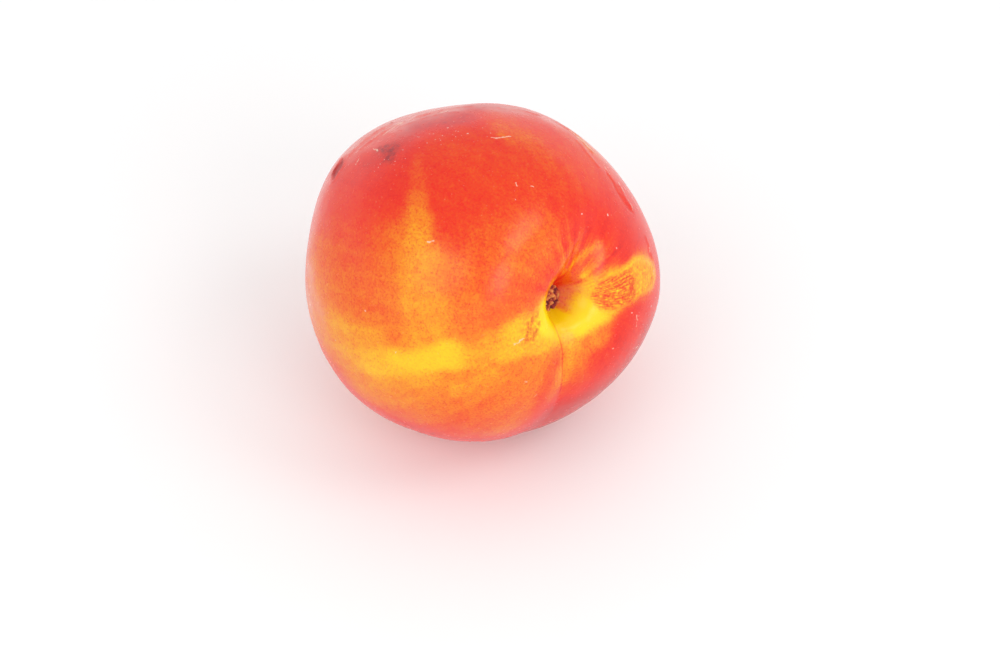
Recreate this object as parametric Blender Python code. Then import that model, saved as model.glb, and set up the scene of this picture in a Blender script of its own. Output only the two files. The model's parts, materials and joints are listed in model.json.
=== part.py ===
"""A ripe nectarine, lying on one side with its stalk end turned up and to the front right.

Metres, +Z up. The fruit is one closed body. It is shaped in its own frame first: the heart of
the fruit at the origin, the stalk end at +Z, the suture down the +X side and a cheek at each
end of Y. Then it is laid down, cut flat where it rests and moved so that the middle of its
bounding box, at the bottom, is the origin.
"""

import math

import bmesh
import bpy
from mathutils import Matrix

MM = 0.001

# Body, from the heart of the fruit.
HALF_LENGTH = 34.0 * MM          # to the stalk end and to the tip, before cavity and point
HALF_CHEEKS = 35.0 * MM          # to each cheek
HALF_SUTURE = 34.3 * MM          # to the suture side and to the back

# Cavity at the stalk end: an open dish with a steep, flat-bottomed pit in it. The pit leans
# towards one cheek, whose shoulder stands over it.
DISH_DEPTH = 5.2 * MM
DISH_SPREAD = 0.33               # angle from the stalk axis where the dish has mostly run out
PIT_DEPTH = 5.4 * MM
PIT_SPREAD = 0.125
PIT_SQUARENESS = 4.0             # 2 is a rounded pit, more is a flatter floor and a steeper wall
PIT_SLOPE = 0.85                 # how steep the far wall is, beside the wall under the shoulder
PIT_STRETCH = 1.1                # how much longer the pit is along the suture than across it
PIT_LEAN = 0.015                 # angle from the stalk axis to the middle of the pit

# Suture: a crease that leaves the cavity, in a broad valley that fades under the fruit.
VALLEY_DEPTH = 2.2 * MM
VALLEY_SPREAD = 0.34             # half width, as an angle across the suture
VALLEY_MIDDLE = 0.90             # angle from the stalk axis where the valley is deepest
VALLEY_REACH = 0.75              # angle from there to where it has mostly faded
CREASE_DEPTH = 0.9 * MM
CREASE_SPREAD = 0.07
CREASE_REACH = 1.0               # angle from the stalk axis where the crease has mostly faded
SWAY = 0.12                      # how far the suture wanders to one side and then to the other
SWAY_MIDDLE = 0.45               # angle from the stalk axis where it crosses over
SWAY_REACH = 0.5

# Fold: on the far side from the suture the cavity runs on a little way between two shoulders.
FOLD_DEPTH = 2.2 * MM
FOLD_LONGITUDE = math.radians(158.0)   # from the suture, round the stalk axis
FOLD_SPREAD = 0.10
FOLD_MIDDLE = 0.24
FOLD_REACH = 0.20

SIDE_SHARPNESS = 8.0             # how soon a valley ends on the other side of the stalk axis

# Tip: a low point with a dimple in it.
POINT_HEIGHT = 1.6 * MM
POINT_SPREAD = 0.55
DIMPLE_DEPTH = 0.9 * MM
DIMPLE_SPREAD = 0.12

# Uneven growth: (longitude from the suture in degrees, degrees from the stalk axis,
# spread in degrees, how far the skin stands out, negative where it is flatter).
SWELLINGS = [
    (135.0, 74.0, 30.0, -1.3 * MM),
    (-175.0, 102.0, 20.0, -0.7 * MM),
    (-152.0, 116.0, 16.0, 0.7 * MM),
    (-130.0, 124.0, 22.0, 1.5 * MM),
    (-106.0, 126.0, 14.0, -0.7 * MM),
    (-20.0, 90.0, 18.0, -1.2 * MM),
    (36.0, 60.0, 20.0, -0.8 * MM),
    (86.0, 54.0, 16.0, 0.8 * MM),
    (-110.0, 32.0, 18.0, 1.2 * MM),
]

# How it lies.
STALK_RISE = math.radians(27.0)      # of the stalk axis above the level
STALK_TURN = math.radians(39.0)      # of the stalk axis, from the front towards the right
SUTURE_ROLL = math.radians(-112.0)   # of the suture about the stalk axis, -90 is straight down
FLAT_HEIGHT = 0.75 * MM              # of the slice lost to the flat spot under the fruit

# Mesh.
SEGMENTS = 84                    # round the stalk axis
RINGS = 52                       # from the stalk end to the tip
CAVITY_CROWDING = 0.60           # how much closer the rings are in the cavity, 0 is even


def bell(distance, spread, squareness=2.0):
    """1 at no distance, fading smoothly to 0 past the spread."""
    return math.exp(-(abs(distance / spread) ** squareness))


def angle_between(theta_a, lon_a, theta_b, lon_b):
    """Angle at the heart between two places, each an angle from the stalk and a longitude."""
    cosine = (math.cos(theta_a) * math.cos(theta_b)
              + math.sin(theta_a) * math.sin(theta_b) * math.cos(lon_a - lon_b))
    return math.acos(max(-1.0, min(1.0, cosine)))


def skin_radius(theta, longitude):
    """Distance of the skin from the heart, theta from the stalk axis, longitude from the suture."""
    along = math.sin(theta) * math.cos(longitude)
    across = math.sin(theta) * math.sin(longitude)
    radius = 1.0 / math.sqrt((along / HALF_SUTURE) ** 2
                             + (across / HALF_CHEEKS) ** 2
                             + (math.cos(theta) / HALF_LENGTH) ** 2)
    for lon, from_stalk, spread, height in SWELLINGS:
        away = angle_between(theta, longitude, math.radians(from_stalk), math.radians(lon))
        radius += height * bell(away, math.radians(spread))

    suture_side = 0.5 + 0.5 * math.tanh(SIDE_SHARPNESS * along)
    off_suture = across - SWAY * math.tanh((theta - SWAY_MIDDLE) / SWAY_REACH)
    radius -= (VALLEY_DEPTH * suture_side * bell(off_suture, VALLEY_SPREAD)
               * bell(theta - VALLEY_MIDDLE, VALLEY_REACH))
    radius -= (CREASE_DEPTH * suture_side * bell(off_suture, CREASE_SPREAD)
               * bell(theta, CREASE_REACH))

    along_fold = math.sin(theta) * math.cos(longitude - FOLD_LONGITUDE)
    across_fold = math.sin(theta) * math.sin(longitude - FOLD_LONGITUDE)
    fold_side = 0.5 + 0.5 * math.tanh(SIDE_SHARPNESS * along_fold)
    radius -= (FOLD_DEPTH * fold_side * bell(across_fold, FOLD_SPREAD)
               * bell(theta - FOLD_MIDDLE, FOLD_REACH))

    across_pit = theta * math.sin(longitude) + PIT_LEAN
    if across_pit > 0.0:
        across_pit *= PIT_SLOPE
    from_pit = math.hypot(theta * math.cos(longitude) / PIT_STRETCH, across_pit)
    radius -= DISH_DEPTH * bell(theta, DISH_SPREAD)
    radius -= PIT_DEPTH * bell(from_pit, PIT_SPREAD, PIT_SQUARENESS)

    from_tip = math.pi - theta
    radius += POINT_HEIGHT * bell(from_tip, POINT_SPREAD)
    radius -= DIMPLE_DEPTH * bell(from_tip, DIMPLE_SPREAD)
    return radius


def shape_fruit(bm):
    """Draw a unit sphere's rings together at the stalk end and move its skin out to the fruit's."""
    for vert in bm.verts:
        theta = math.acos(max(-1.0, min(1.0, vert.co.z)))
        longitude = math.atan2(vert.co.y, vert.co.x)
        theta -= CAVITY_CROWDING * math.sin(theta) * bell(theta, 1.5)
        radius = skin_radius(theta, longitude)
        vert.co.x = radius * math.sin(theta) * math.cos(longitude)
        vert.co.y = radius * math.sin(theta) * math.sin(longitude)
        vert.co.z = radius * math.cos(theta)


def lay_down(bm):
    """Roll the suture under, tip the stalk end over to the front and turn it to the right."""
    turn = (Matrix.Rotation(STALK_TURN, 3, "Z")
            @ Matrix.Rotation(math.radians(90.0) - STALK_RISE, 3, "X")
            @ Matrix.Rotation(SUTURE_ROLL, 3, "Z"))
    bmesh.ops.rotate(bm, verts=bm.verts, matrix=turn)


def cut_flat_spot(bm):
    """Slice off the lowest part of the skin and close the cut with one flat face."""
    level = min(vert.co.z for vert in bm.verts) + FLAT_HEIGHT
    cut = bmesh.ops.bisect_plane(bm, geom=bm.verts[:] + bm.edges[:] + bm.faces[:],
                                 plane_co=(0.0, 0.0, level), plane_no=(0.0, 0.0, 1.0),
                                 clear_inner=True)
    rim = [item for item in cut["geom_cut"] if isinstance(item, bmesh.types.BMEdge)]
    bmesh.ops.edgeloop_fill(bm, edges=rim)


def stand_at_origin(bm):
    """Move the fruit so that the middle of the bottom of its bounding box is the origin."""
    low = [min(vert.co[axis] for vert in bm.verts) for axis in range(3)]
    high = [max(vert.co[axis] for vert in bm.verts) for axis in range(3)]
    shift = (-(low[0] + high[0]) / 2, -(low[1] + high[1]) / 2, -low[2])
    bmesh.ops.translate(bm, verts=bm.verts, vec=shift)


def skin_material():
    """Smooth, waxy red and orange skin."""
    material = bpy.data.materials.new("skin")
    material.use_nodes = True
    shader = material.node_tree.nodes["Principled BSDF"]
    shader.inputs["Base Color"].default_value = (0.89, 0.13, 0.045, 1.0)
    shader.inputs["Roughness"].default_value = 0.4
    shader.inputs["Metallic"].default_value = 0.0
    return material


def make_nectarine():
    bm = bmesh.new()
    bmesh.ops.create_uvsphere(bm, u_segments=SEGMENTS, v_segments=RINGS, radius=1.0)
    shape_fruit(bm)
    lay_down(bm)
    cut_flat_spot(bm)
    stand_at_origin(bm)
    bmesh.ops.recalc_face_normals(bm, faces=bm.faces[:])
    mesh = bpy.data.meshes.new("nectarine")
    bm.to_mesh(mesh)
    bm.free()
    mesh.shade_smooth()
    mesh.materials.append(skin_material())
    nectarine = bpy.data.objects.new("nectarine", mesh)
    bpy.context.scene.collection.objects.link(nectarine)
    return nectarine


def main():
    for old in list(bpy.data.objects):
        bpy.data.objects.remove(old, do_unlink=True)
    make_nectarine()


main()
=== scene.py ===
# %% [markdown]
# # A ripe nectarine
#
# One ripe nectarine lies on its side on a pale table. Its stalk end is turned up and to the
# front right. This lesson starts from a CAD body that already has the fruit's size and broad
# shape, and makes the two things that are seen: the skin, and the scar that the stalk left at
# the bottom of the cavity.
#
# The order is: load the CAD body, set the camera and the light, model the skin, press its fine
# relief, paint its colours, model the scar, and then make the two finishes.

import json
import math
from types import SimpleNamespace

import bpy
import numpy as np
from mathutils import Matrix, Vector

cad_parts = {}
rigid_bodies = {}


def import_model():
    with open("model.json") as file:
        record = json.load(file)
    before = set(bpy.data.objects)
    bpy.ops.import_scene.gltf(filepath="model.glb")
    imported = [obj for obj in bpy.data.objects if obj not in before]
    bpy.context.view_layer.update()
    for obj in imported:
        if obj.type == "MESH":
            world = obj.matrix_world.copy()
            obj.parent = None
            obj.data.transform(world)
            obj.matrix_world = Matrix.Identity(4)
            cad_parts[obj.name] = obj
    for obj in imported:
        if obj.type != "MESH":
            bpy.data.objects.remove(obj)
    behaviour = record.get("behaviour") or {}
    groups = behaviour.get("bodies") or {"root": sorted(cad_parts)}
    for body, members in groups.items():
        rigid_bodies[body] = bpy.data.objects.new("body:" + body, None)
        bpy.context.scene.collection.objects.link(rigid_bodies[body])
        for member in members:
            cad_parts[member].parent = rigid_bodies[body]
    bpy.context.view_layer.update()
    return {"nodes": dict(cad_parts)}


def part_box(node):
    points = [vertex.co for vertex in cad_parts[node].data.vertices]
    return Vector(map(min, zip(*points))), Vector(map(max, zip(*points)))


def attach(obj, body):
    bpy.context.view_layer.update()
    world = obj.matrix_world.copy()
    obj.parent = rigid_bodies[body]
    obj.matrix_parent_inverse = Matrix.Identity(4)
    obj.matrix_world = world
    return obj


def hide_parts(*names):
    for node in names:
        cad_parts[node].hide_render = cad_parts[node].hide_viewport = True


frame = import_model()
cad_fruit = frame["nodes"]["nectarine"]
low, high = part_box("nectarine")
MM = 0.001
print("CAD body, mm:", [round((high[i] - low[i]) / MM, 1) for i in range(3)])

# %% [markdown]
# ## The fruit's own frame
#
# Everything on a fruit is arranged round its stalk axis: the suture runs from the stalk end to
# the tip as a line of longitude does on a globe, and streaks of colour follow the same lines.
# So each place on the skin is named by two angles at the heart of the fruit. One is the
# longitude, measured from the suture round the stalk axis. The other is the angle from the stalk
# axis, 0 in the cavity and 180 at the tip. Three turns lay that frame down as the fruit lies.

# %% The fruit's own frame
STALK_RISE = 27.0        # of the stalk axis above the level, in degrees
STALK_TURN = 39.0        # of the stalk axis, from the front towards the right
SUTURE_ROLL = -112.0     # of the suture about the stalk axis, -90 is straight down
HEART = Vector((-0.3, -0.15, 33.45)) * MM

lie = (Matrix.Rotation(math.radians(STALK_TURN), 3, "Z")
       @ Matrix.Rotation(math.radians(90.0 - STALK_RISE), 3, "X")
       @ Matrix.Rotation(math.radians(SUTURE_ROLL), 3, "Z"))
LIE = np.array(lie)


def place(longitude, from_stalk):
    """Direction of a place on the skin from the heart, in the fruit's own frame."""
    lon, away = math.radians(longitude), math.radians(from_stalk)
    return np.array([math.sin(away) * math.cos(lon), math.sin(away) * math.sin(lon),
                     math.cos(away)])


def to_fruit(points):
    """Points of the row frame, seen from the heart in the fruit's own frame."""
    return (np.asarray(points) - np.array(HEART)) @ LIE


stalk_axis = lie @ Vector((0, 0, 1))
print("stalk axis:", [round(v, 2) for v in stalk_axis])

# %% [markdown]
# ## Camera
#
# The view is a product shot from above: the camera looks down at about 45 degrees with a short
# telephoto lens, which keeps a small round thing from bulging towards the viewer. The fruit sits
# a little left of the middle and a little high in the frame.

# %% Camera
LENS = 85.0              # mm, on a 36 mm sensor
CAMERA_RISE = math.radians(45.0)
CAMERA_DISTANCE = 0.465
AIM_RIGHT, AIM_DOWN = 3.25 * MM, 12.0 * MM


def add_camera():
    forward = Vector((0, math.cos(CAMERA_RISE), -math.sin(CAMERA_RISE)))
    right = Vector((1, 0, 0))
    up = right.cross(forward)
    middle = Vector((0, 0, high.z / 2))
    aim = middle + right * AIM_RIGHT - up * AIM_DOWN
    data = bpy.data.cameras.new("camera")
    data.lens, data.sensor_width = LENS, 36.0
    data.clip_start, data.clip_end = 0.01, 20.0
    camera = bpy.data.objects.new("camera", data)
    bpy.context.scene.collection.objects.link(camera)
    camera.location = middle - forward * CAMERA_DISTANCE
    camera.rotation_euler = (aim - camera.location).to_track_quat("-Z", "Y").to_euler()
    bpy.context.scene.camera = camera
    return camera


camera = add_camera()
print("camera, mm:", [round(v / MM) for v in camera.location])

# %% [markdown]
# ## Helpers for modelling
#
# Nothing is selected before a primitive is added, because an operator acts on all that is
# selected and the loaded CAD body still is. A finished piece has its place in its mesh and its
# object at the origin, so that patterns in object coordinates sit still.

# %% Helpers for modelling


def deselect_all():
    if bpy.context.object and bpy.context.object.mode != "OBJECT":
        bpy.ops.object.mode_set(mode="OBJECT")
    for obj in bpy.context.view_layer.objects:
        obj.select_set(False)


def make_active(obj):
    deselect_all()
    obj.select_set(True)
    bpy.context.view_layer.objects.active = obj


def settle(obj):
    """Put the object's place into its mesh."""
    make_active(obj)
    bpy.ops.object.transform_apply(location=True, rotation=True, scale=True)


def vertex_array(mesh):
    points = np.empty(len(mesh.vertices) * 3)
    mesh.vertices.foreach_get("co", points)
    return points.reshape(-1, 3)


def normal_array(mesh):
    normals = np.empty(len(mesh.vertices) * 3)
    mesh.vertices.foreach_get("normal", normals)
    return normals.reshape(-1, 3)


def move_vertices(mesh, points):
    mesh.vertices.foreach_set("co", np.asarray(points, dtype=np.float32).ravel())
    mesh.update()


def paint_points(mesh, name, values):
    """Store one number on each vertex, as a named attribute that a material can read."""
    attribute = mesh.attributes.new(name, "FLOAT", "POINT")
    attribute.data.foreach_set("value", np.asarray(values, dtype=np.float32))
    print(f"painted {name}: {values.min():.2f} to {values.max():.2f}")


# %% [markdown]
# ## A smooth target for the skin
#
# The CAD body is faceted, as a body for collision and exchange should be. A copy of it, with
# its loose triangles merged, joined into quads and subdivided, is a smooth surface of the same
# shape. It isn't shown: the skin is drawn onto it and then it is thrown away.

# %% A smooth target for the skin
FLAT_BAND = 0.05 * MM    # vertices this close to the table belong to the flat spot


def smooth_target():
    target = cad_fruit.copy()
    target.data = cad_fruit.data.copy()
    target.name = "skin_target"
    target.parent = None
    for key in list(target.keys()):
        del target[key]
    bpy.context.scene.collection.objects.link(target)
    make_active(target)
    bpy.ops.object.mode_set(mode="EDIT")
    bpy.ops.mesh.select_all(action="SELECT")
    bpy.ops.mesh.remove_doubles(threshold=0.002 * MM)
    bpy.ops.mesh.tris_convert_to_quads(face_threshold=math.radians(40),
                                       shape_threshold=math.radians(40))
    bpy.ops.object.mode_set(mode="OBJECT")
    rounding = target.modifiers.new("rounding", "SUBSURF")
    rounding.levels = rounding.render_levels = 2
    bpy.ops.object.modifier_apply(modifier=rounding.name)
    return target


target = smooth_target()
print("target:", len(target.data.vertices), "vertices")

# %% [markdown]
# ## The skin
#
# The skin of a nectarine is one closed surface with no seam. A ball with poles would pinch its
# faces together at two points, and one of them would lie in the cavity, where the eye goes. A
# cube that is subdivided and rounded has no poles and even faces all over. So the skin starts as
# a cube round the heart of the fruit, is subdivided, pushed out to a ball, and then shrunk
# straight in onto the smooth target, as a film shrinks onto a mould.

# %% The skin
START_SIZE = 76.0 * MM
SKIN_LEVELS = 7


def draw_skin():
    deselect_all()
    bpy.ops.mesh.primitive_cube_add(size=START_SIZE, location=HEART,
                                    rotation=lie.to_euler())
    skin = bpy.context.object
    skin.name = skin.data.name = "skin"
    net = skin.modifiers.new("net", "SUBSURF")
    net.subdivision_type = "SIMPLE"
    net.levels = net.render_levels = SKIN_LEVELS
    bpy.ops.object.modifier_apply(modifier=net.name)
    bpy.ops.object.mode_set(mode="EDIT")
    bpy.ops.mesh.select_all(action="SELECT")
    bpy.ops.transform.tosphere(value=1.0)
    bpy.ops.object.mode_set(mode="OBJECT")
    settle(skin)
    shrink = skin.modifiers.new("shrink", "SHRINKWRAP")
    shrink.target = target
    shrink.wrap_method = "PROJECT"
    shrink.use_negative_direction = True
    shrink.use_positive_direction = True
    make_active(skin)
    bpy.ops.object.modifier_apply(modifier=shrink.name)
    bpy.ops.object.shade_smooth()
    return skin


skin = draw_skin()
bpy.data.objects.remove(target, do_unlink=True)
points = vertex_array(skin.data)
print("skin:", len(skin.data.polygons), "quads, mm:",
      np.round((points.max(0) - points.min(0)) / MM, 1))

# %% [markdown]
# ## Noise for the hand
#
# A real skin is never quite even, and a painted edge never quite straight. One smooth noise does
# for both. It is made from a block of random numbers that is drawn once from a fixed seed, so
# that the fruit is the same every time. Values between the numbers are blended.

# %% Noise for the hand
GRAIN = 24
lattice = np.random.default_rng(11).uniform(-1, 1, (4, GRAIN, GRAIN, GRAIN))


def noise(where, channel=0):
    """Smooth noise from -1 to 1, one bump for each unit of length."""
    where = np.asarray(where) % GRAIN
    cell = np.floor(where).astype(int) % GRAIN
    part = where - np.floor(where)
    part = part * part * (3 - 2 * part)
    after = (cell + 1) % GRAIN
    total = 0
    for corner in range(8):
        pick = [(corner >> axis) & 1 for axis in range(3)]
        weight = 1
        index = []
        for axis in range(3):
            weight = weight * (part[:, axis] if pick[axis] else 1 - part[:, axis])
            index.append((after if pick[axis] else cell)[:, axis])
        total = total + weight * lattice[channel][index[0], index[1], index[2]]
    return total


def noise3(where):
    return np.stack([noise(where, channel) for channel in range(3)], axis=1)


def unit(vectors):
    return vectors / np.linalg.norm(vectors, axis=-1, keepdims=True)


def longitude_of(d):
    return np.degrees(np.arctan2(d[:, 1], d[:, 0]))


def from_stalk_of(d):
    return np.degrees(np.arccos(np.clip(d[:, 2], -1, 1)))


# %% [markdown]
# ## Brush strokes
#
# Both relief and colour are laid on with the same brush. A stroke runs between two places on the
# skin, has a half width at each end, all in degrees seen from the heart, and fades softly past
# them. One degree is about 0.6 mm of skin.

# %% Brush strokes


def stroke(d, start, end, start_width, end_width, softness):
    """1 inside the stroke, fading to 0 outside."""
    a, b = place(*start), place(*end)
    along = b - a
    t = np.clip(((d - a) @ along) / max(along @ along, 1e-9), 0, 1)
    nearest = unit(a + t[:, None] * along)
    away = np.degrees(np.arccos(np.clip((d * nearest).sum(1), -1, 1)))
    width = start_width + (end_width - start_width) * t
    return np.exp(-(np.maximum(away - width, 0) / softness) ** 2)


def trail(d, places, widths, softness):
    """A stroke through several places."""
    result = np.zeros(len(d))
    for i in range(len(places) - 1):
        result = np.maximum(result, stroke(d, places[i], places[i + 1], widths[i],
                                           widths[i + 1], softness))
    return result


d = unit(to_fruit(points))
print("one degree of skin, mm:",
      round(float(np.linalg.norm(to_fruit(points), axis=1).mean() * math.radians(1) / MM), 2))

# %% [markdown]
# ## Relief of the skin
#
# The CAD body has the cavity, the suture and the flat spot. A look at the real skin from a hand's
# width adds the rest: shallow waves, the fine line at the bottom of the suture, pleats that run
# out of the cavity, a gash and a few scratches from handling, and wrinkles where the skin has
# begun to dry. Each is pushed in or pulled out along the skin's own normal, as with a sculpting
# brush. The flat spot stays flat.

# %% Relief of the skin: where and how high
# Bumps in a radian of skin, shift and channel of the noise, height in mm.
WAVES = [(4.5, 0, 0, 0.09), (11, 5, 1, 0.035), (34, 0, 2, 0.008)]
CREASE_LINE = [(-50, 8), (-24, 11), (-10, 15), (-4, 19), (-2, 24), (3, 34), (7, 50), (8, 75),
               (5, 105), (0, 140), (0, 176)]
CREASE_DEPTH, CREASE_LIPS = 0.14, 0.04       # in mm, as all heights and depths here
NOTCH = ((-20, 3.0), (-20, 6.6), 2.0, 1.2, 2.0)      # where the crease starts, beside the scar
NOTCH_DEPTH = 0.4
FOLD_LINE = [(-168, 12), (176, 18), (163, 24)]
FOLD_DEPTH = 0.16
PLEAT_MIDDLE, PLEAT_REACH = 17, 8            # degrees from the stalk axis
PLEAT_HEIGHT, PLEAT_COUNT = 0.07, 5.0        # the count is in a radian round the stalk
GASH = [(-132.8, 111.2), (-129.0, 109.0), (-125.4, 107.0)]
GASH_DEPTH, GASH_LIPS = 0.35, 0.12
# Ridges and creases where the skin has begun to dry: places, half width, height in mm.
WRINKLES = [
    ([(-135, 107), (-143, 106), (-151, 104)], 0.4, 0.24),
    ([(-138, 103), (-145, 101), (-153, 99)], 0.3, 0.20),
    ([(-150, 96), (-158, 92), (-166, 86)], 0.3, 0.14),
    ([(-158, 97), (-165, 93), (-173, 88)], 0.4, 0.20),
    ([(-176, 84), (178, 80), (168, 77)], 0.4, 0.18),
    ([(160, 74), (154, 69), (152, 61)], 0.6, 0.16),
    ([(158, 63), (156, 57), (152, 52)], 0.5, 0.12),
    ([(146, 51), (141, 45), (136, 43), (131, 43)], 0.5, -0.20),
    ([(139, 50), (136, 46), (131, 45)], 0.5, 0.16),
    ([(114, 43), (109, 42), (104, 43)], 0.5, 0.12),
]

# %% Relief of the skin: waves, suture and pleats
lon, away = longitude_of(d), from_stalk_of(d)
relief = sum(height * noise(d * fineness + shift, channel)
             for fineness, shift, channel, height in WAVES)
crease_fade = np.clip(1.15 - away / 75, 0.12, 1)
relief -= CREASE_DEPTH * trail(d, CREASE_LINE, [0.1] * len(CREASE_LINE), 1.0) * crease_fade
relief += CREASE_LIPS * trail(d, CREASE_LINE, [1.6] * len(CREASE_LINE), 1.4) * crease_fade
relief -= NOTCH_DEPTH * stroke(d, *NOTCH)
relief -= FOLD_DEPTH * trail(d, FOLD_LINE, [0.2, 0.2, 0.1], 1.0)

pleat_ring = np.exp(-((away - PLEAT_MIDDLE) / PLEAT_REACH) ** 2)
round_the_stalk = np.stack([np.cos(np.radians(lon)), np.sin(np.radians(lon))], axis=1)
pleats = noise(np.column_stack([round_the_stalk * PLEAT_COUNT, away * 0.03]), 1)
relief += PLEAT_HEIGHT * pleat_ring * pleats
print("waves, suture and pleats, mm:", np.round([relief.min(), relief.max()], 2))

# %% Relief of the skin: gash and wrinkles
relief -= GASH_DEPTH * trail(d, GASH, [0.1, 2.0, 0.1], 0.5)
relief += GASH_LIPS * trail(d, GASH, [1.4, 2.8, 1.4], 0.9)
wandering = unit(d + 0.012 * noise3(d * 22 + 9))
for places, width, height in WRINKLES:
    relief += height * trail(wandering, places, [width] * len(places), 0.5)

normals = normal_array(skin.data)
clear_of_table = np.clip((points[:, 2] - FLAT_BAND) / (2.0 * MM), 0, 1)
points = points + normals * (relief * MM * clear_of_table)[:, None]
move_vertices(skin.data, points)
print("relief, mm:", round(float(relief.min()), 2), "to", round(float(relief.max()), 2))

# %% [markdown]
# ## Blush
#
# The ground colour of this nectarine is a warm yellow, and the sun has laid a red blush over
# most of it. Where leaves shaded it the ground shows: in the cavity, in a band that runs down
# from it, and in a wedge on the upper side. One number on each vertex says how deep the blush
# is, from 0 for bare yellow to 1 for full red. It is painted as on paper: a full wash first, and
# then strokes that thin or deepen it. Before a stroke is laid, the place it looks at is shifted by
# noise, which frays its edges. The shift is calmer near the stalk, where the strokes are small.

# %% Blush
FULL_WASH = 1.0
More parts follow.
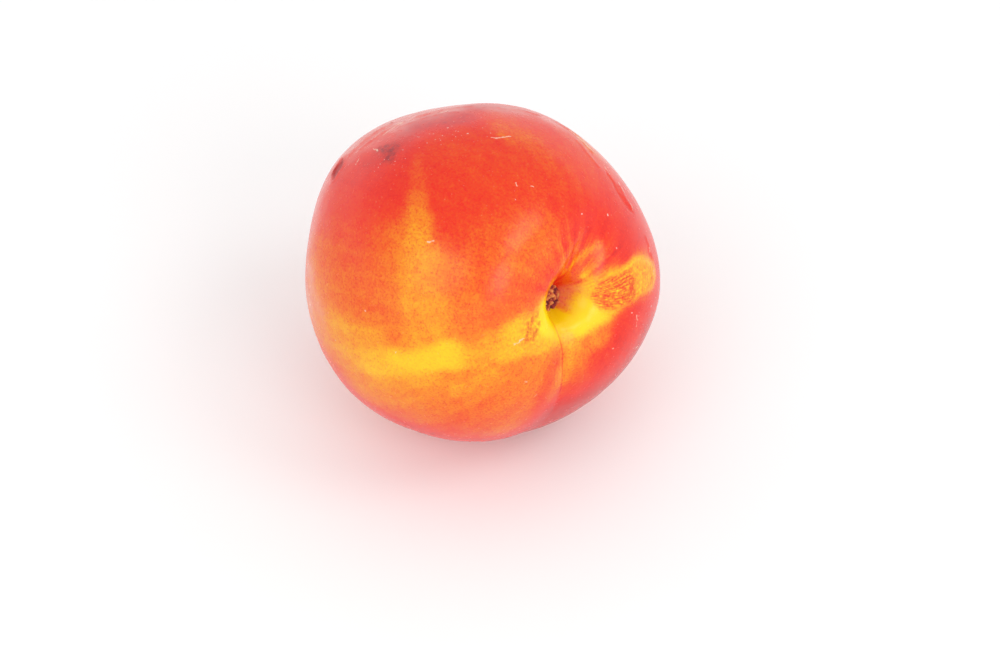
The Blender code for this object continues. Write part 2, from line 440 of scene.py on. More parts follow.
# Start, end, half width at each, softness, blush there, strength.
BLUSH_STROKES = [
    ((-90, 44), (-84, 96), 9, 13, 15, 0.70, 1.0),        # the lit side, warm orange
    ((-52, 40), (-52, 84), 8, 9, 13, 0.66, 1.0),
    ((-24, 28), (-18, 50), 3, 3, 11, 0.64, 1.0),         # left of the suture
    ((6, 22), (4, 36), 1, 1, 8, 0.62, 0.9),
    ((-128, 38), (-95, 28), 2, 2, 9, 0.72, 0.9),         # over the shoulder
    ((-72, 80), (-84, 100), 6, 6, 10, 0.54, 0.9),        # lighter ground round the band
    ((-58, 58), (-58, 86), 3, 3, 8, 0.44, 0.8),
    ((-110, 62), (-92, 60), 2.5, 4, 7, 0.60, 0.8),       # the wedge
    ((-140, 72.5), (-127, 64.2), 0.1, 0.7, 2.0, 0.74, 0.85),
    ((-127, 64.2), (-120, 60.5), 0.7, 1.6, 2.4, 0.60, 0.95),
    ((-120, 60.5), (-100, 53.5), 1.6, 3.2, 3.0, 0.45, 0.95),
    ((-100, 53.5), (-82, 51), 3.2, 4.2, 4.5, 0.40, 0.95),
    ((-106, 43.5), (-84, 38.5), 0.8, 1.2, 4, 0.58, 0.8),
    # Partly the skin's own orange, partly a painted highlight: paler over the shoulder, where the
    # lamps' soft sheen falls.
    ((-150, 27), (-126, 26), 3, 3, 7, 0.62, 0.9),        # pale patch over the shoulder
    ((-74, 86), (-71, 72), 4, 4, 6, 0.34, 0.85),         # the yellow band
    ((-68, 74), (-68, 58), 2.4, 3.4, 4.4, 0.22, 0.95),
    ((-71, 62), (-69, 46), 1.0, 2.4, 3.4, 0.08, 0.95),
    ((-70, 46), (-64, 38), 2.2, 0.4, 2.4, 0.08, 0.95),
    ((-66, 37), (-64, 28), 2.0, 2.6, 3.5, 0.34, 0.9),
    ((-49.5, 49), (-50, 37), 1.0, 1.2, 2.6, 0.26, 0.85),
    ((-46, 29), (-30, 24), 1.5, 1.5, 3.5, 0.50, 0.8),
    ((-46, 44), (-28, 33), 2.5, 2.5, 6, 0.52, 0.6),
    ((-68, 22), (-58, 15), 3, 3, 3.6, 0.18, 0.95),
    ((-58, 29), (-36, 17), 0.8, 1.6, 2.2, 0.20, 0.9),
    ((-80, 11), (-10, 10), 1.2, 2.5, 3.5, -0.05, 1.0),   # the cavity
    ((-82, 30), (-88, 18), 0.6, 0.6, 2.4, 0.66, 0.75),
    ((-56, 14), (-28, 11), 1.6, 2.4, 2.2, -0.20, 1.0),
    ((-10, 12), (68, 12.6), 3, 3.2, 4.2, 0.04, 1.0),
    ((8, 15.5), (84, 11.5), 1.0, 1.2, 2.4, -0.10, 1.0),
    ((110, 14), (130, 12), 2, 1.4, 3.8, 0.32, 0.95),
    ((128, 17), (155, 17), 2, 1, 5, 0.68, 0.8),
    ((60, 12), (104, 10.5), 1.4, 1.4, 2.2, -0.04, 0.9),
    ((-14, 9), (40, 8.6), 0.4, 0.6, 1.8, -0.12, 0.8),
    ((112, 9.5), (132, 11), 0.8, 0.8, 2.0, 0.20, 0.8),
    ((138, 8.4), (156, 8.8), 0.3, 0.5, 1.2, 0.84, 0.9),  # red patch in the far wall
    ((158, 8.4), (170, 9.6), 0.4, 0.4, 1.4, 0.66, 0.9),
    ((-165, 10.5), (150, 23), 0.2, 0.4, 1.0, 0.38, 0.8), # along the fold
    ((-158, 13.5), (-176, 17.5), 0.7, 0.7, 1.8, 0.54, 0.8),
    ((-132, 11), (-102, 9.5), 0.5, 0.8, 1.4, 0.36, 0.8),
    ((4, 18), (5, 31), 2.0, 0.4, 3.0, 0.36, 0.85),
    ((23, 19), (50, 20.5), 1.0, 0.8, 2.6, 0.50, 0.85),
    ((34, 5.6), (112, 5.8), 0.3, 0.5, 1.4, 0.66, 0.9),   # rim of the scar
    ((100, 18), (100, 31), 6.2, 5.4, 2.2, 0.20, 0.95),    # round the second russet patch
    ((96, 33), (95, 40), 4.0, 3.0, 2.0, 0.20, 0.9),
    ((-12, 24), (-6, 44), 0.4, 0.8, 3.0, 0.80, 0.75),    # redder along the suture
    ((-167.8, 62.9), (-169.8, 62.0), 0.3, 0.5, 0.6, 0.26, 0.95),
    ((-173, 66), (179, 50), 0.6, 1.6, 5.5, 0.54, 0.9),  # faint streaks high up
    ((172, 46), (160, 58), 5, 5, 10, 0.84, 0.8),
    ((-148, 60), (-164, 44), 6, 6, 9, 0.85, 0.8),
    ((-136, 92), (-146, 87), 1, 2, 4, 1.10, 0.8),
    ((176, 84), (-176, 68), 2, 2, 6, 0.84, 0.7),
    ((152, 66), (150, 74), 1.5, 2, 5, 0.52, 0.8),
    ((-50, 101), (-30, 81), 3, 3, 7, 1.02, 0.9),         # redder low down
    ((-30, 81), (4, 68), 3, 4, 7, 1.02, 0.9),
    # Partly the skin's own deep red, partly painted shade: the darkest red low on the right side,
    # towards the table.
    ((20, 56), (34, 80), 6, 10, 14, 1.22, 0.9),          # deepest on the low right side
    ((68, 45), (38, 52), 2, 3, 6, 1.22, 0.9),
    ((120, 84), (96, 112), 6, 9, 16, 0.74, 0.8),         # the far side
    ((60, 108), (38, 140), 4, 7, 14, 0.62, 0.8),
    ((-30, 128), (10, 150), 6, 7, 12, 0.66, 0.8),
    ((-150, 132), (160, 150), 3, 6, 12, 0.80, 0.7),
    ((0, 172), (180, 174), 3, 3, 8, 0.45, 0.8),          # round the tip
]

CALM_AREA = 30           # degrees from the stalk axis within which the edges fray less
calm = np.clip(away / CALM_AREA, 0.25, 1)[:, None]
frayed = unit(d + calm * (0.05 * noise3(d * 4.0 + 3) + 0.02 * noise3(d * 11 + 7)))
blush = np.full(len(d), FULL_WASH)
for start, end, start_width, end_width, softness, depth, strength in BLUSH_STROKES:
    laid = strength * stroke(frayed, start, end, start_width, end_width, softness)
    blush += (depth - blush) * laid
paint_points(skin.data, "blush", blush)

# %% [markdown]
# ## Marks of growth and handling
#
# A fruit from a tree is never clean. Leaves and twigs rub corky russet patches into the skin
# beside the cavity. A knock leaves a purple bruise, a cut leaves a dark red gash, and dust dulls
# the upper side, with pale grit in it. A pale painted reflection lies in clouds along the top of
# the back, where the wax would throw back the white surroundings at a glance, and a thin coat of
# the same pale paint is painted light on the shaded far wall of the cavity. Each of these gets its
# own painted layer, so that the finish can give it its own colour, roughness and grain.

# %% Marks of growth and handling: where
# Start, end, half width at each, softness.
RUSSET = [((93, 16), (99, 27), 4.9, 5.2, 0.9), ((99, 29), (97, 37.5), 4.8, 2.8, 1.1),
          ((-67, 17), (-60, 20), 2.4, 2.2, 2.0)]
CORKY = [((92, 15.5), (96, 20.5), 4.0, 4.2, 2.2)]        # the coarse part of the russet
BRUISE = [((-140, 88), (-137, 85), 1.2, 1.4, 1.6), ((-139, 92), (-140, 90), 0.8, 0.6, 1.2)]
DUSTY = [((-152, 90), (-161, 82), 2, 3, 4), ((-172, 86), (176, 80), 1, 1, 5)]
# A painted reflection: pale strokes along the upper rim of the back, where the wax would throw back
# the white surroundings at a glance.
PAINTED_RIM_REFLECTION = [((-80, 105), (-104, 112), 0.5, 1, 7), ((-104, 112), (-122, 119), 1, 1, 8),
           ((-122, 119), (-140, 110), 1, 1, 9), ((-140, 110), (-166, 96), 1, 1, 9),
           ((-166, 96), (174, 83), 1, 1, 9), ((174, 83), (152, 71), 1, 0.5, 7),
           ((152, 71), (126, 56), 0.5, 0.5, 5)]
# Painted light: a thin coat of the same pale paint lifts the far wall of the cavity, which lies in
# shade.
PAINTED_CAVITY_LIGHT = [((46, 5.6), (116, 6.2), 0.4, 0.8, 1.6)]        # a thin film in the cavity's far wall
CAVITY_LIGHT_STRENGTH = 0.28
GRITTY = [((-138, 84), (-168, 70), 2, 3, 5), ((48, 48), (72, 38), 1, 2, 5)]
PLEATED = [((122, 18), (172, 19), 4, 3, 5), ((-172, 20), (-158, 17), 1, 1, 3)]


def layer(strokes, where):
    """Several strokes as one layer."""
    result = np.zeros(len(where))
    for start, end, start_width, end_width, softness in strokes:
        result = np.maximum(result, stroke(where, start, end, start_width, end_width, softness))
    return result


# %% Marks of growth and handling: painted
ragged = unit(d + 0.014 * noise3(d * 24 + 2) + 0.008 * noise3(d * 60 + 4))
paint_points(skin.data, "russet", layer(RUSSET, unit(d + 0.012 * noise3(d * 18))))
paint_points(skin.data, "corky", layer(CORKY, unit(d + 0.03 * noise3(d * 18))))
paint_points(skin.data, "bruise", layer(BRUISE, ragged))
paint_points(skin.data, "dusty", layer(DUSTY, frayed))
# The painted reflection along the rim, broken into clouds, and the painted light in the cavity.
drifting = unit(d + 0.09 * noise3(d * 3.4 + 6) + 0.05 * noise3(d * 9 + 1))
cloudy = np.clip(0.70 + 0.9 * noise(d * 5 + 3, 1) + 0.4 * noise(d * 14 + 2, 2), 0, 1)
frosted = np.maximum(layer(PAINTED_RIM_REFLECTION, drifting) * cloudy, CAVITY_LIGHT_STRENGTH * layer(PAINTED_CAVITY_LIGHT, d))
paint_points(skin.data, "frosted", frosted)
paint_points(skin.data, "gritty", layer(GRITTY, frayed))
paint_points(skin.data, "pleated", layer(PLEATED, d))
paint_points(skin.data, "gash", trail(ragged, GASH, [0.1, 2.5, 0.1], 0.4))

# %% [markdown]
# ## The scar at the bottom of the cavity
#
# The fruit was pulled from its stalk, and the stalk left a small woody scar at the bottom of the
# cavity. It is a thin pad of dry tissue: dark maroon, split by a net of cracks, with tan crumbs
# between them where the fibres broke. It starts as a ball flattened to a pad and set on the
# floor of the cavity. Its top is then broken up: a noise that crosses zero marks the cracks, and
# what lies between them stands up as crumbs. Its edge is sunk in the walls all round.

# %% The scar
SCAR_LEAN = (-20, 1.8)   # the middle of the cavity's floor
SCAR_SIZE = (4.9, 3.8, 1.3)      # half its length, breadth and height, in mm
SCAR_LIFT = 0.45         # of its middle above the floor, in mm
CRUMB_HEIGHT, FIBRE_HEIGHT, CRACK_DEPTH = 0.75, 0.12, 0.35     # in mm


def floor_below(longitude, from_stalk):
    """The skin's point in that direction from the heart."""
    _, where, _, _ = skin.ray_cast(HEART, lie @ Vector(place(longitude, from_stalk)))
    return where


def draw_scar():
    middle = floor_below(*SCAR_LEAN) + lie @ Vector((0, 0, SCAR_LIFT * MM))
    deselect_all()
    bpy.ops.mesh.primitive_uv_sphere_add(segments=120, ring_count=60, radius=MM,
                                         location=middle, rotation=lie.to_euler(),
                                         scale=SCAR_SIZE)
    scar = bpy.context.object
    scar.name = scar.data.name = "stalk_scar"
    settle(scar)
    local = (vertex_array(scar.data) - np.array(middle)) @ LIE / MM
    flat = local * [1.0, 1.0, 0.3]
    crumbs = 1 - np.exp(-(noise(flat * 1.35 + 4) / 0.22) ** 2)
    crumbs *= 0.6 + 0.4 * noise(flat * 2.6 + 8, 1)
    fibres = noise(flat * 3.6 + 2, 2)
    top = np.clip(local[:, 2] / 0.5, 0, 1)
    local[:, 2] += top * (CRUMB_HEIGHT * crumbs + FIBRE_HEIGHT * fibres - CRACK_DEPTH)
    move_vertices(scar.data, local @ LIE.T * MM + np.array(middle))
    paint_points(scar.data, "crumbs", np.clip(crumbs, 0, 1))
    bpy.ops.object.shade_smooth()
    return scar


scar = draw_scar()
print("scar:", len(scar.data.polygons), "faces")

# %% [markdown]
# ## A small language for shader maths
#
# A finish is a graph of nodes, and a graph written node by node hides its sense. One small class
# wraps a socket, so that ordinary expressions such as 1 - mask * 0.5 add the Math nodes. Colours
# and vectors go through Mix and Vector Math nodes, because a Math node would turn a colour grey.

# %% A small language for shader maths


class Wire:
    """A node's output socket, with arithmetic."""

    def __init__(self, finish, socket):
        self.finish, self.socket = finish, socket

    def _math(self, operation, a, b, clamp=False):
        return self.finish.node("Math", {"operation": operation, "use_clamp": clamp}, [a, b])

    def __add__(self, other):
        return self._math("ADD", self, other)

    def __radd__(self, other):
        return self._math("ADD", other, self)

    def __sub__(self, other):
        return self._math("SUBTRACT", self, other)

    def __rsub__(self, other):
        return self._math("SUBTRACT", other, self)

    def __mul__(self, other):
        return self._math("MULTIPLY", self, other)

    def __rmul__(self, other):
        return self._math("MULTIPLY", other, self)

    def __truediv__(self, other):
        return self._math("DIVIDE", self, other)

    def __pow__(self, other):
        return self._math("POWER", self, other)

    def clamp(self):
        return self._math("ADD", self, 0.0, clamp=True)

    def at_least(self, other):
        return self._math("MAXIMUM", self, other)

    def step(self, start, end):
        """0 at start and 1 at end, smooth between, whichever of the two is the larger."""
        return self.finish.node("MapRange", {"interpolation_type": "SMOOTHSTEP", "clamp": True},
                                {"Value": self, "From Min": start, "From Max": end,
                                 "To Min": 0.0, "To Max": 1.0})


class Graph:
    """A node tree that is built by expressions."""

    def __init__(self, tree):
        self.tree = tree
        self.tree.nodes.clear()

    def node(self, kind, settings=None, sockets=None, output=0):
        """Add a node: its settings first, then the values or links of its sockets."""
        node = self.tree.nodes.new("ShaderNode" + kind)
        for key, value in (settings or {}).items():
            if key == "stops":
                self._stops(node.color_ramp, value)
            else:
                setattr(node, key, value)
        pairs = sockets.items() if isinstance(sockets, dict) else enumerate(sockets or [])
        for key, value in pairs:
            self._plug(node.inputs[key], value)
        return Wire(self, node.outputs[output]) if node.outputs else node

    def _stops(self, ramp, stops):
        while len(ramp.elements) > 1:
            ramp.elements.remove(ramp.elements[-1])
        ramp.elements[0].position, ramp.elements[0].color = stops[0][0], (*stops[0][1], 1)
        for position, colour in stops[1:]:
            ramp.elements.new(position).color = (*colour, 1)

    def _plug(self, socket, value):
        if isinstance(value, Wire):
            self.tree.links.new(value.socket, socket)
        elif socket.type == "RGBA" and len(value) == 3:
            socket.default_value = (*value, 1)
        else:
            socket.default_value = value

    def vector(self, operation, *sockets, output=0):
        return self.node("VectorMath", {"operation": operation}, list(sockets), output)

    def scaled(self, vector, factor):
        return self.node("VectorMath", {"operation": "SCALE"},
                         {"Vector": vector, "Scale": factor})

    def parts(self, vector):
        """The x, y and z of a vector."""
        split = self.node("SeparateXYZ", {}, [vector])
        return [Wire(self, split.socket.node.outputs[axis]) for axis in range(3)]

    def mix(self, factor, a, b):
        """Blend colour a into colour b. The colours are the Mix node's seventh and eighth input."""
        return self.node("Mix", {"data_type": "RGBA"}, {0: factor, 6: a, 7: b}, output=2)

    def noise(self, where, scale, detail=2.0, roughness=0.5):
        """Noise about 0, mostly from -1 to 1."""
        raw = self.node("TexNoise", {"noise_dimensions": "3D"},
                        {"Vector": where, "Scale": scale, "Detail": detail,
                         "Roughness": roughness})
        return (raw - 0.5) * 3.0

    def dots(self, where, spacing, radius, softness):
        """Small round dots strewn at random, and a random number for each."""
        cells = {"Vector": self.scaled(where, 1 / spacing), "Scale": 1.0}
        near = self.node("TexVoronoi", {"feature": "F1"}, cells)
        chance = self.parts(Wire(self, near.socket.node.outputs["Color"]))[0]
        return near.step((radius + softness) / spacing, radius / spacing), chance


class Finish(Graph):
    """A material with a Principled shader and the nodes that feed it."""

    def __init__(self, name):
        self.material = bpy.data.materials.new(name)
        self.material.use_nodes = True
        super().__init__(self.material.node_tree)
        surface = self.node("BsdfPrincipled")
        self.shader = surface.socket.node
        self.node("OutputMaterial", {}, {"Surface": surface})

    def set(self, name, value):
        self._plug(self.shader.inputs[name], value)

    def painted(self, name):
        return self.node("Attribute", {"attribute_name": name, "attribute_type": "GEOMETRY"},
                         output="Fac")

    def bump(self, height, distance):
        """A normal tilted by a height, where 1 stands as high as distance."""
        return self.node("Bump", {}, {"Height": height, "Distance": distance, "Strength": 1.0})


def screen(red, green, blue):
    """A colour given on a 0 to 255 scale, as the linear numbers that a shader takes."""
    return tuple(((c / 255 + 0.055) / 1.055) ** 2.4 if c > 10 else c / 255 / 12.92
                 for c in (red, green, blue))


# %% [markdown]
# ## The skin's finish
#
# The skin is smooth and has no fuzz. It has a thin wax on it that gives a soft sheen, not a
# mirror. Its colour comes from the painted blush through a ramp from yellow to red. Seen close,
# the blush isn't a wash: it is made of streaks that run from stalk to tip, of a fine mottle, and
# of small dark freckles on the orange ground. On the full red there are pale breathing pores
# instead. All of these are noises and dots in the fruit's own frame, which the Mapping node
# turns with the fruit. Long streaks come from a noise that is squeezed round the stalk axis and
# stretched along it.

# %% The skin's finish: colours
GLARE = 0.04             # the share of white surroundings that the wax throws back
BRIGHTNESS = 1.15        # of the light on the fruit, where 1 would show white paper as white


def pigment(red, green, blue):
    """The colour under the wax that shows as this one in white light."""
    return tuple(max((c / BRIGHTNESS - GLARE) / (1 - GLARE), 0.003)
                 for c in screen(red, green, blue))


PALEST, DEEPEST = -0.2, 1.3      # the blush that the ramp's two ends stand for


def blush_stop(depth, colour):
    return (depth - PALEST) / (DEEPEST - PALEST), pigment(*colour)


BLUSH_RAMP = [
    blush_stop(-0.20, (255, 228, 24)),
    blush_stop(0.00, (254, 213, 42)),
    blush_stop(0.25, (251, 180, 60)),
    blush_stop(0.50, (247, 140, 62)),
    blush_stop(0.70, (244, 110, 60)),
    blush_stop(0.85, (242, 87, 60)),
    blush_stop(1.00, (240, 71, 61)),
    blush_stop(1.25, (205, 52, 56)),
]
FRECKLE = pigment(206, 96, 44)
PORE = pigment(250, 168, 140)
DUST = pigment(202, 96, 104)
# Pale paint for the painted reflection along the upper rim and the painted light in the cavity.
PAINTED_LIGHT_TINT = pigment(248, 190, 184)
BRUISED = pigment(168, 50, 66)
CUT = pigment(188, 18, 50)
CORK = pigment(206, 104, 36)
# Pale scratches, and painted glints on the dry wrinkles at the rim.
SCUFF_AND_GLINT_TINT = pigment(255, 226, 200)
CHIP = pigment(255, 236, 226)
print("ramp stops:", len(BLUSH_RAMP))

# %% [markdown]
# ### Patterns
#
# Several parts of the finish look at the same painted layers and at the same noises, so these are
# made once. Mottle and stipple are coarse and fine noises, the net is a finer one that cracks the
# russet, and the patches break up the dust, the painted reflection and light, and the bruise. The
# streaks and the ripple follow the stalk axis. The shaken direction is a place on the skin that
# noise has moved a little, so that a line drawn with it is not ruled. All of them go from function
# to function in one bundle, `on`.

# %% The skin's finish: patterns
# Bumps in a unit of length, detail and roughness. The unit is a millimetre, or a unit of the
# streaked coordinates.
MOTTLE, STIPPLE = (0.55, 3.0, 0.6), (2.2, 2.0, 0.6)
NET, PATCHES = (1.5, 1.5, 0.55), (0.9, 3.0, 0.65)
STREAKS, RIPPLE = (1.0, 4.0, 0.6), (1.0, 2.0, 0.55)
# Units in a radian round the stalk, and along the skin.
STREAK_SPACING, RIPPLE_SPACING = (9.0, 1.6), (36.0, 28.0)
NARROWEST_RING = 0.01    # keeps the streaks from dividing by nothing on the stalk axis
SHAKE_SCALE, SHAKE_WIDTH = 1.1, 0.030
LAYERS = ["blush", "pleated", "russet", "corky", "dusty", "frosted", "bruise", "gash", "gritty"]


def skin_patterns(finish):
    """The coordinates, painted layers and noises that the parts of the finish share."""
    here = finish.node("TexCoord", output="Object")
    seen = finish.node("Mapping", {"vector_type": "TEXTURE"},
                       {"Vector": here, "Location": HEART, "Rotation": lie.to_euler()})
    mm = finish.scaled(seen, 1 / MM)
    direction = finish.vector("NORMALIZE", seen)
    x, y, z = finish.parts(direction)
    ring = ((x * x + y * y) ** 0.5).at_least(NARROWEST_RING)
    from_stalk = finish.node("Math", {"operation": "ARCCOSINE"}, [z])

    def streaked(around, along):
        return finish.node("CombineXYZ", {}, [x / ring * around, y / ring * around,
                                              from_stalk * along])

    shake = finish.node("TexNoise", {}, {"Vector": mm, "Scale": SHAKE_SCALE, "Detail": 2.0},
                        output="Color")
    shaken = finish.vector("MULTIPLY_ADD", shake, (SHAKE_WIDTH,) * 3, direction)
    return SimpleNamespace(
        mm=mm, direction=direction, from_stalk=from_stalk,
        shaken=finish.vector("ADD", shaken, (-SHAKE_WIDTH / 2,) * 3),
        mottle=finish.noise(mm, *MOTTLE), stipple=finish.noise(mm, *STIPPLE),
        net=finish.noise(mm, *NET), patchy=finish.noise(mm, *PATCHES),
        streaks=finish.noise(streaked(*STREAK_SPACING), *STREAKS),
        ripple=finish.noise(streaked(*RIPPLE_SPACING), *RIPPLE),
        **{name: finish.painted(name) for name in LAYERS})


print("painted layers in the finish:", len(LAYERS))

# %% [markdown]
# ### Thin marks
#
# Scratches, specks of dust, painted glints on the dry wrinkles and the fine line of the suture are
# thinner than the skin's faces, so they can't be painted on its vertices. The finish measures them
# itself: for each point of the skin it finds the nearest point of a short line and turns the
# distance into a mask.

# %% The skin's finish: thin marks
# Scratches, and painted glints: the lines along the rim among the dry wrinkles, upper left and
# upper right, are painted highlights.
# Start, end, half width in degrees.
SCUFFS_AND_GLINTS = [
    ((-61.5, 25.9), (-61.5, 22.4), 0.20),
    ((-159.6, 91.8), (-162.6, 90.4), 0.24), ((-162.6, 90.4), (-165.6, 90.0), 0.28),
    ((-163.6, 63.6), (-166.8, 62.4), 0.22), ((-166.8, 62.4), (-170.0, 61.6), 0.26),
    ((-114.8, 54.6), (-115.6, 53.0), 0.26),
    ((-138.4, 95.8), (-138.0, 92.6), 0.22),
    ((-133.6, 99.0), (-131.4, 98.4), 0.20),
    ((139.0, 53.0), (135.5, 48.8), 0.22), ((135.5, 48.8), (130.0, 44.2), 0.18),
    ((157.5, 70.0), (153.6, 65.0), 0.22), ((154.8, 66.4), (151.2, 61.2), 0.20),
    ((147.0, 56.0), (144.6, 52.6), 0.16), ((-145.0, 99.0), (-152.6, 98.2), 0.20),
    ((-142.0, 101.4), (-149.0, 100.8), 0.16),
    ((109.9, 41.6), (106.6, 40.8), 0.20), ((98.4, 40.9), (96.6, 40.6), 0.28),
    ((155.0, 68.0), (152.2, 61.0), 0.28),
    ((74.5, 30.5), (73.6, 30.9), 0.24), ((73.4, 31.2), (67.8, 32.5), 0.10),
    ((59.4, 43.4), (58.0, 43.0), 0.22), ((46.2, 27.4), (44.6, 27.2), 0.14),
    ((-31.4, 31.6), (-29.8, 31.4), 0.22), ((-16.4, 36.1), (-15.2, 35.2), 0.12),
    ((-157.2, 44.6), (-156.4, 43.8), 0.18), ((-162.2, 41.6), (-163.2, 41.0), 0.16),
]
SPECKS = [(-157.5, 73.4), (-156.4, 77.6), (-158.6, 70.0), (-168.0, 49.2), (-151.3, 40.3),
          (-74.0, 89.3), (-86.6, 72.4), (80.1, 40.2), (75.9, 27.4), (132.8, 24.4), (-72.4, 63.4),
          (170.9, 29.2), (149.7, 32.2)]


LINE_SOFTNESS, SPECK_SOFTNESS, SPECK_SIZE = 0.16, 0.15, 0.22     # in degrees


def thin_line(finish, direction, start, end, width, softness=LINE_SOFTNESS):
    """1 on the line between two places, 0 beside it. Widths are in degrees."""
    a, b = place(*start), place(*end)
    along = b - a
    away = finish.vector("SUBTRACT", direction, tuple(a))
    share = finish.vector("DOT_PRODUCT", away, tuple(along / (along @ along)), output="Value")
    nearest = finish.scaled(tuple(along), share.clamp())
    gap = finish.vector("DISTANCE", away, nearest, output="Value")
    return gap.step(math.radians(width + softness), math.radians(width * 0.5))


def thin_lines(finish, direction, lines):
    mask = thin_line(finish, direction, *lines[0])
    for line in lines[1:]:
        mask = mask.at_least(thin_line(finish, direction, *line))
    return mask


def specks(finish, direction):
    mask = None
    for spot in SPECKS:
        gap = finish.vector("DISTANCE", direction, tuple(place(*spot)), output="Value")
        dot = gap.step(math.radians(SPECK_SIZE + SPECK_SOFTNESS), math.radians(SPECK_SIZE * 0.5))
        mask = dot if mask is None else mask.at_least(dot)
    return mask


print("thin marks:", len(SCUFFS_AND_GLINTS), "scuffs and", len(SPECKS), "specks")

# %% [markdown]
# ### Depth of the blush
#
# Between bare yellow and full red the skin is livelier than at either end, so streaks, mottle
# and freckles grow with how near the blush is to halfway. The russet deepens the blush in a corky
# net that runs lengthwise, and its cracks are where the noise of that net crosses zero. The thin
# line of the suture is darkest near the stalk, and a scrape beside the cavity has been browned.

# %% The skin's finish: depth of the blush
FRECKLE_DOTS = (0.50, 0.05, 0.14)        # spacing, radius and softness in mm
CREASE_SHOWN = 8                         # places of the suture's line that are drawn thin
CREASE_WIDTH, CREASE_SOFTNESS = 0.10, 0.42       # in degrees
CREASE_START, CREASE_END = math.radians(20), math.radians(70)    # where it begins to fade, ends
# Start, end, half width in degrees.
SCRAPE_LINES = [((-77, 14.9), (-73, 19.0), 0.5), ((-65, 14.8), (-54, 19.9), 0.4),
                ((-67, 19.0), (-58.5, 21.7), 0.40)]
SCRAPE_SOFTNESS = 0.9


def freckled_blush(finish, on):
    """The depth of the blush with its streaks and mottle, and where it is freckled."""
    halfway = (on.blush * (1.15 - on.blush) * 3.4 + 0.10).clamp()
    depth = (on.blush + on.streaks * halfway * 0.12 + on.mottle * halfway * 0.10
             + on.stipple * (halfway * 0.10 + 0.02) + on.streaks * on.pleated * 0.30)
    dot, chance = finish.dots(on.mm, *FRECKLE_DOTS)
    grained = on.stipple.step(0.05, 0.80)
    ground = halfway * on.blush.step(0.95, 0.68)
    freckled = (dot * chance.step(0.1, 1.1)).at_least(grained * 0.7) * ground
    return depth + freckled * 0.15, freckled


def corky_net(on):
    """What the russet adds to the depth, and its cracks: coarse near the cavity, then fine."""
    depth = on.russet * (on.corky * (on.ripple * 0.64 + 0.34) + on.net * 0.34 + 0.06)
    coarse = (on.ripple * on.ripple).step(0.030, 0.0) * on.corky.step(0.1, 0.8) * on.russet
    return depth, coarse.at_least((on.net * on.net).step(0.014, 0.0) * on.russet * 0.55)


def suture_line(finish, on):
    line = CREASE_LINE[:CREASE_SHOWN]
    crease = thin_lines(finish, on.direction, [(*ends, CREASE_WIDTH, CREASE_SOFTNESS)
                                               for ends in zip(line, line[1:])])
    return crease * 0.26 * on.from_stalk.step(CREASE_END, CREASE_START)


def scraped_skin(finish, on):
    return thin_lines(finish, on.shaken, [(*line, SCRAPE_SOFTNESS) for line in SCRAPE_LINES])


print("scrape:", len(SCRAPE_LINES), "lines")

# %% [markdown]
# ### Layers on the skin
#
# The ramp turns the depth of the blush into a colour. Everything else lies over it as a thin
# layer: an amount from 0 to 1 and a colour, laid on from the bottom up. None of them is even,
# because each amount is broken up by noise.

# %% The skin's finish: layers on the skin
PORE_DOTS = (0.80, 0.05, 0.11)           # spacing, radius and softness in mm
GRIT_DOTS = (0.70, 0.06, 0.08)


def pores(finish, on):
    dot, chance = finish.dots(on.mm, *PORE_DOTS)
    return dot * chance.step(0.35, 1.0) * on.blush.step(0.66, 0.95) * (1 - on.russet)


def grit(finish, on):
    dot, chance = finish.dots(on.mm, *GRIT_DOTS)
    return dot * chance.step(0.45, 0.85) * on.gritty


def skin_layers(finish, on, freckled, crack, scrape, dust):
    """Amount and colour of each layer, from the bottom up."""
    scuffs_and_glints = thin_lines(finish, on.shaken, SCUFFS_AND_GLINTS)
    flecks = specks(finish, on.shaken)
    return [
        (freckled * 0.34, FRECKLE),
        ((crack * 0.28).clamp(), CORK),
        ((scrape * (0.30 + on.net * 0.30)).clamp(), CORK),
        (pores(finish, on) * 0.42, PORE),
        (dust, DUST),
        # Painted reflection along the upper rim, and painted light in the cavity.
        ((on.frosted * (0.56 + on.patchy * 0.32 + on.streaks * 0.30)).clamp(), PAINTED_LIGHT_TINT),
        ((on.bruise * (0.65 + on.patchy * 0.90 + on.stipple * 0.30)).clamp(), BRUISED),
        ((on.gash * (0.95 + on.mottle * 0.2)).clamp(), CUT),
        # Scratches, and painted glints on the wrinkles.
        ((scuffs_and_glints * (0.62 + on.stipple * 0.50)).clamp(), SCUFF_AND_GLINT_TINT),
        ((flecks * 0.75).at_least(grit(finish, on) * 0.70), CHIP),
    ]


# %% [markdown]
# ### The finish put together
#
# Clean skin is the smoothest. Dust, russet and the gash are rougher. The bump is very low, a
# twentieth of a millimetre at most, since the skin's broad relief is real.

# %% The skin's finish: put together
BUMP_HEIGHT = 0.05 * MM
WAX_IOR = 1.42


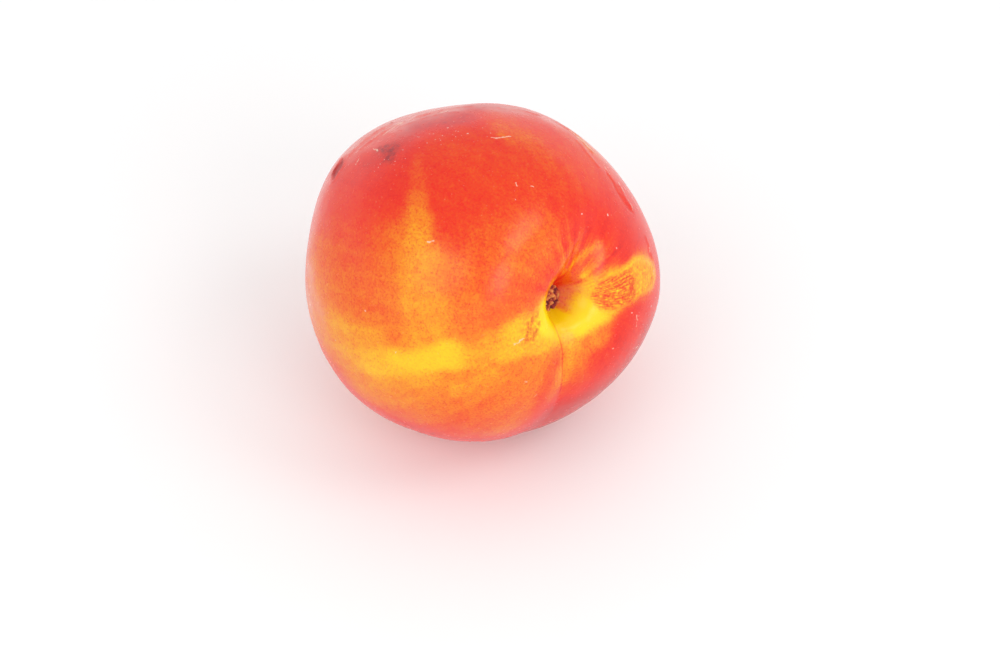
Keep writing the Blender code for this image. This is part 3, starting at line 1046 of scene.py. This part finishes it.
def skin_finish():
    finish = Finish("nectarine_skin")
    on = skin_patterns(finish)
    depth, freckled = freckled_blush(finish, on)
    cork, crack = corky_net(on)
    scrape = scraped_skin(finish, on)
    depth = depth + cork
    depth = depth + suture_line(finish, on) + scrape * (0.16 + on.net * 0.20)
    dust = (on.dusty * (0.42 + on.patchy * 0.50)).clamp()

    colour = finish.node("ValToRGB", {"stops": BLUSH_RAMP},
                         {"Fac": (depth - PALEST) / (DEEPEST - PALEST)})
    for amount, paint in skin_layers(finish, on, freckled, crack, scrape, dust):
        colour = finish.mix(amount, colour, paint)
    finish.set("Base Color", colour)
    finish.set("Roughness", (0.26 + on.patchy * 0.03 + dust * 0.25 + on.russet * 0.20
                             + crack * 0.1 + on.gash * 0.15).clamp())
    finish.set("IOR", WAX_IOR)
    height = (on.mottle * 0.18 + on.stipple * 0.10 + on.russet * on.net * 0.5
              + on.dusty * on.patchy * 0.5)
    finish.set("Normal", finish.bump(height, BUMP_HEIGHT))
    return finish.material


skin.data.materials.clear()
skin.data.materials.append(skin_finish())
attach(skin, "root")
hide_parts("nectarine")
print("skin finish:", len(skin.data.materials[0].node_tree.nodes), "nodes")

# %% [markdown]
# ## The scar's finish
#
# Dry wood and bark-like tissue, with no gloss. The painted crumbs pick the colour: nearly black
# in the cracks, maroon beside them, and tan on the broken tops. A fine noise speckles it.

# %% The scar's finish
SCAR_RAMP = [
    (0.00, screen(84, 20, 22)),
    (0.25, screen(150, 42, 44)),
    (0.48, screen(204, 104, 56)),
    (0.85, screen(240, 176, 96)),
]


def scar_finish():
    finish = Finish("stalk_scar")
    here = finish.node("TexCoord", output="Object")
    mm = finish.scaled(here, 1000.0)
    grain = finish.noise(mm, 3.5, 3.0, 0.6)
    blotch = finish.noise(mm, 0.8, 2.0, 0.5)
    tone = finish.painted("crumbs") * 0.85 + grain * 0.16 + blotch * 0.22 + 0.05
    finish.set("Base Color", finish.node("ValToRGB", {"stops": SCAR_RAMP}, {"Fac": tone}))
    finish.set("Roughness", (0.78 + grain * 0.06).clamp())
    finish.set("Normal", finish.bump(grain + blotch, 0.08 * MM))
    return finish.material


scar.data.materials.clear()
scar.data.materials.append(scar_finish())
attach(scar, "root")
print("scar finish:", len(scar.data.materials[0].node_tree.nodes), "nodes")

# %% [markdown]
# ## Table and light
#
# The table is plain and nearly white, and so is everything round it. A white surrounding gives
# the even, bright light of a product shot: the skin shows its true colour, and its edges catch
# a pale rim where the wax is seen at a glance. Two soft lamps from above, on the left and on the
# right, add a faint sheen and a soft shadow under the fruit. A third stands in front, where the
# stalk end points, and lights the inside of the cavity.

# %% Table and light
TABLE_SIZE = 8.0
BACKDROP_GLOW, CEILING_GLOW = 1.30, 0.86
BACKDROP_TOP, CEILING_START = 14, 30     # degrees above the level, with a soft change between
LAMP_DISTANCE = 1.2
# Name, direction from the fruit, width in metres, power in watts.
LAMPS = [("lamp_left", (-0.48, -0.57, 0.68), 0.80, 1.8),
         ("lamp_right", (0.60, -0.20, 0.77), 0.45, 1.4),
         ("lamp_front", (0.50, -0.75, 0.55), 0.60, 2.3)]


def lay_table():
    deselect_all()
    bpy.ops.mesh.primitive_plane_add(size=TABLE_SIZE, location=(0, 0, 0))
    table = bpy.context.object
    table.name = "table"
    finish = Finish("table_paint")
    finish.set("Base Color", (0.93, 0.93, 0.93))
    finish.set("Roughness", 0.8)
    finish.set("Specular IOR Level", 0.1)
    table.data.materials.append(finish.material)
    return table


def light_room():
    """White up to a little above the table, and dimmer overhead."""
    world = bpy.data.worlds.new("white_room")
    world.use_nodes = True
    room = Graph(world.node_tree)
    way = room.parts(room.node("TexCoord", output="Generated"))[2]
    overhead = way.step(math.sin(math.radians(BACKDROP_TOP)),
                        math.sin(math.radians(CEILING_START)))
    glow = room.mix(overhead, (BACKDROP_GLOW,) * 3, (CEILING_GLOW,) * 3)
    background = room.node("Background", {}, {"Color": glow, "Strength": 1.0})
    room.node("OutputWorld", {}, {"Surface": background})
    bpy.context.scene.world = world


def add_lamp(name, direction, size, power):
    """A round soft lamp in that direction from the fruit, aimed at it."""
    data = bpy.data.lights.new(name, "AREA")
    data.shape, data.size, data.energy = "DISK", size, power
    lamp = bpy.data.objects.new(name, data)
    bpy.context.scene.collection.objects.link(lamp)
    middle = Vector((0, 0, high.z / 2))
    lamp.location = middle + Vector(direction).normalized() * LAMP_DISTANCE
    lamp.rotation_euler = (middle - lamp.location).to_track_quat("-Z", "Y").to_euler()
    return lamp


lay_table()
light_room()
for lamp in LAMPS:
    add_lamp(*lamp)
bpy.context.scene.view_settings.view_transform = "Standard"
print("lamps:", len(LAMPS))
